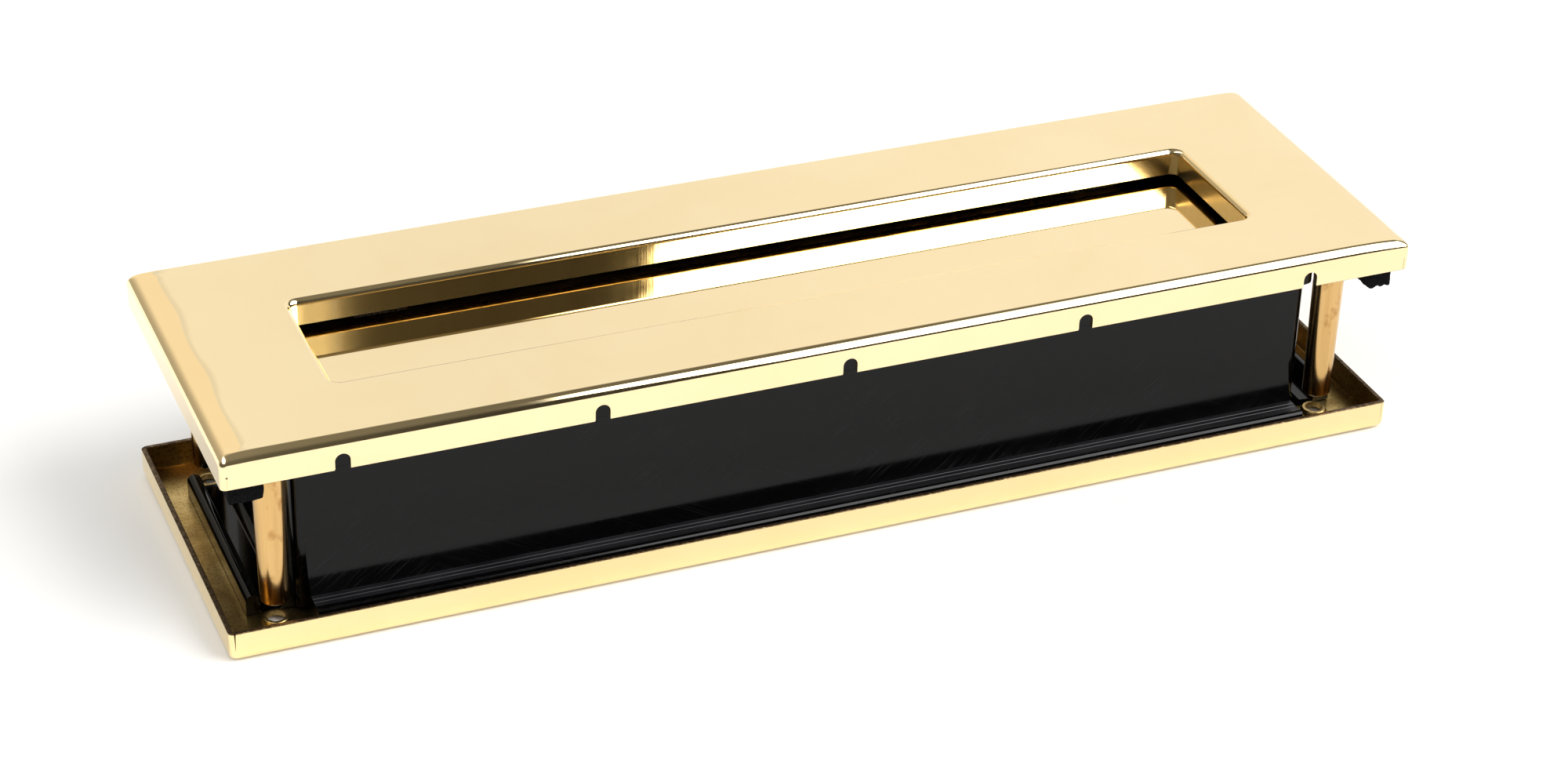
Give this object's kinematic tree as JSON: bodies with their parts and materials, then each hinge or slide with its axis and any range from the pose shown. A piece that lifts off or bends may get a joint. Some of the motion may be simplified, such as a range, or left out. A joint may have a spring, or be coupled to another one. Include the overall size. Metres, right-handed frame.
{
  "type": "letter plate",
  "caption": "Brass letter plate for a door: pressed front plate and inner frame joined by a telescopic black sleeve, with a sprung flap behind each aperture.",
  "frame": {"origin": "middle of the base, the inner frame's face that it lies on", "axes": "+X along the plate, +Y towards its upper edge when it is fitted, +Z from the room side to the street side"},
  "size_m": [0.315, 0.094, 0.0584],
  "materials": {
    "polished_brass": "mirror polished and lacquered",
    "satin_brass": "polished outside, plain and slightly scratched inside",
    "post_brass": "turned satin",
    "black_plastic": "gloss moulded, finely scratched",
    "black_foam": "cut cellular foam",
    "black_rubber": "matt rubber",
    "rod_steel": "drawn and plated",
    "spring_steel": "oiled spring wire"
  },
  "bodies": {
    "inner_unit": {"inner_frame": "satin_brass", "rear_sleeve": "black_plastic", "inner_hinge_lug_left": "satin_brass", "inner_hinge_lug_right": "satin_brass", "inner_hinge_rod": "rod_steel", "inner_rod_clip_left": "spring_steel", "inner_rod_clip_right": "spring_steel"},
    "front_unit": {"front_plate": "polished_brass", "front_sleeve": "black_plastic", "fixing_post_lower_left": "post_brass", "fixing_post_lower_right": "post_brass", "fixing_post_upper_left": "post_brass", "fixing_post_upper_right": "post_brass", "foam_strip_left": "black_foam", "foam_strip_right": "black_foam", "front_hinge_lug_left": "satin_brass", "front_hinge_lug_right": "satin_brass", "front_hinge_rod": "rod_steel", "front_rod_clip_left": "spring_steel", "front_rod_clip_right": "spring_steel"},
    "front_flap": {"front_flap": "polished_brass", "flap_buffer_left": "black_rubber", "flap_buffer_right": "black_rubber", "front_spring_left": "spring_steel", "front_spring_right": "spring_steel"},
    "inner_flap": {"inner_flap": "satin_brass", "inner_spring_left": "spring_steel", "inner_spring_right": "spring_steel"}
  },
  "joints": [
    {"name": "sleeve_slide", "type": "slide", "parent": "inner_unit", "child": "front_unit", "axis": [0, 0, 1], "range_m": [0, 0.012]},
    {"name": "front_flap_hinge", "type": "hinge", "parent": "front_unit", "child": "front_flap", "pos_m": [0, 0.024, 0.0466], "axis": [1, 0, 0], "range_deg": [0, 58], "stiffness_Nm_per_rad": 0.07, "springref_deg": -63.03},
    {"name": "inner_flap_hinge", "type": "hinge", "parent": "inner_unit", "child": "inner_flap", "pos_m": [0, 0.0155, 0.005], "axis": [1, 0, 0], "range_deg": [0, 90], "stiffness_Nm_per_rad": 0.03, "springref_deg": -68.75}
  ]
}
